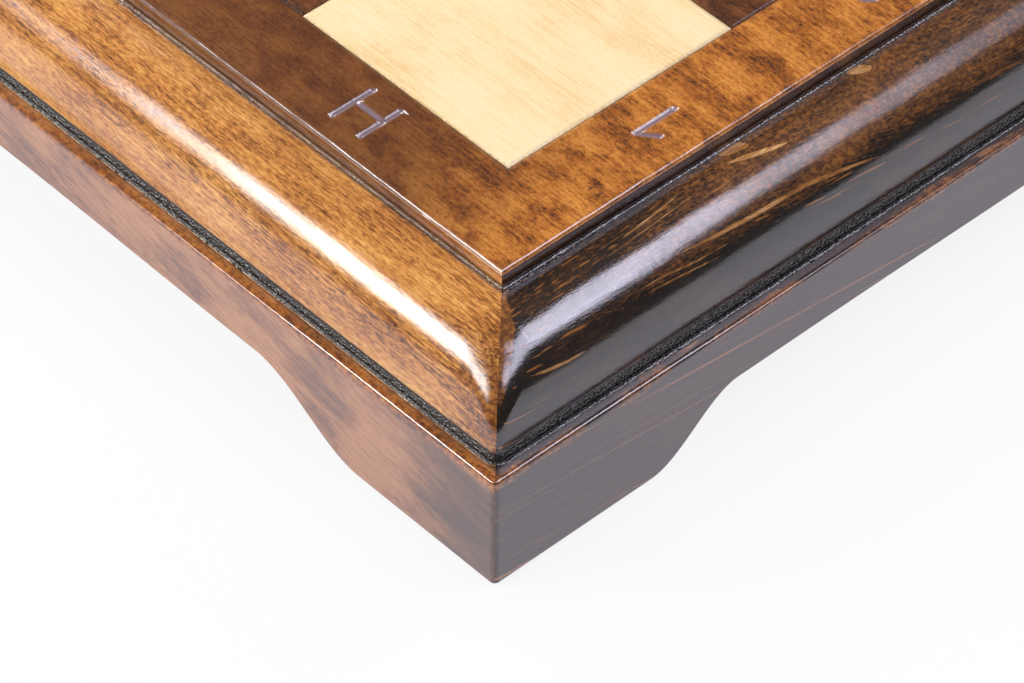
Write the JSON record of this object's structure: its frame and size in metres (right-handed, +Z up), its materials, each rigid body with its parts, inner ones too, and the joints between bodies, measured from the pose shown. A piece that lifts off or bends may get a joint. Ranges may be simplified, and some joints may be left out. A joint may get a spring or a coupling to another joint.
{
  "type": "chess board",
  "caption": "Raised square chess board: chequered squares let into a bordered panel, set in a mitred round-over moulding on aprons with ogee bracket feet.",
  "frame": {"origin": "on the surface that the board stands on, under the centre of the board", "axes": "+Z up through the playing surface, +X from file a to file h, +Y from rank 1 to rank 8"},
  "size_m": [0.425, 0.425, 0.04],
  "materials": {
    "stained_panel_wood": "walnut-stained panel under gloss lacquer",
    "dark_square_wood": "walnut-stained square under gloss lacquer",
    "light_square_wood": "bare pale wood under gloss lacquer",
    "moulding_wood": "walnut-stained moulding under gloss lacquer",
    "apron_wood": "walnut-stained apron under gloss lacquer",
    "spline_plywood": "bare sawn plywood",
    "block_softwood": "bare sawn softwood",
    "screw_steel": "zinc-plated wood screw",
    "pad_felt": "pressed felt"
  },
  "bodies": {
    "root": {"playing_panel": "stained_panel_wood", "dark_squares_rank_1": "dark_square_wood", "light_squares_rank_1": "light_square_wood", "dark_squares_rank_2": "dark_square_wood", "light_squares_rank_2": "light_square_wood", "dark_squares_rank_3": "dark_square_wood", "light_squares_rank_3": "light_square_wood", "dark_squares_rank_4": "dark_square_wood", "light_squares_rank_4": "light_square_wood", "dark_squares_rank_5": "dark_square_wood", "light_squares_rank_5": "light_square_wood", "dark_squares_rank_6": "dark_square_wood", "light_squares_rank_6": "light_square_wood", "dark_squares_rank_7": "dark_square_wood", "light_squares_rank_7": "light_square_wood", "dark_squares_rank_8": "dark_square_wood", "light_squares_rank_8": "light_square_wood", "moulding_front": "moulding_wood", "moulding_right": "moulding_wood", "moulding_back": "moulding_wood", "moulding_left": "moulding_wood", "apron_front": "apron_wood", "apron_right": "apron_wood", "apron_back": "apron_wood", "apron_left": "apron_wood", "mitre_spline_front_right": "spline_plywood", "mitre_spline_back_right": "spline_plywood", "mitre_spline_back_left": "spline_plywood", "mitre_spline_front_left": "spline_plywood", "corner_block_front_right": "block_softwood", "corner_block_back_right": "block_softwood", "corner_block_back_left": "block_softwood", "corner_block_front_left": "block_softwood", "block_screws": "screw_steel", "felt_pad_front_right": "pad_felt", "felt_pad_back_right": "pad_felt", "felt_pad_back_left": "pad_felt", "felt_pad_front_left": "pad_felt"}
  },
  "joints": []
}
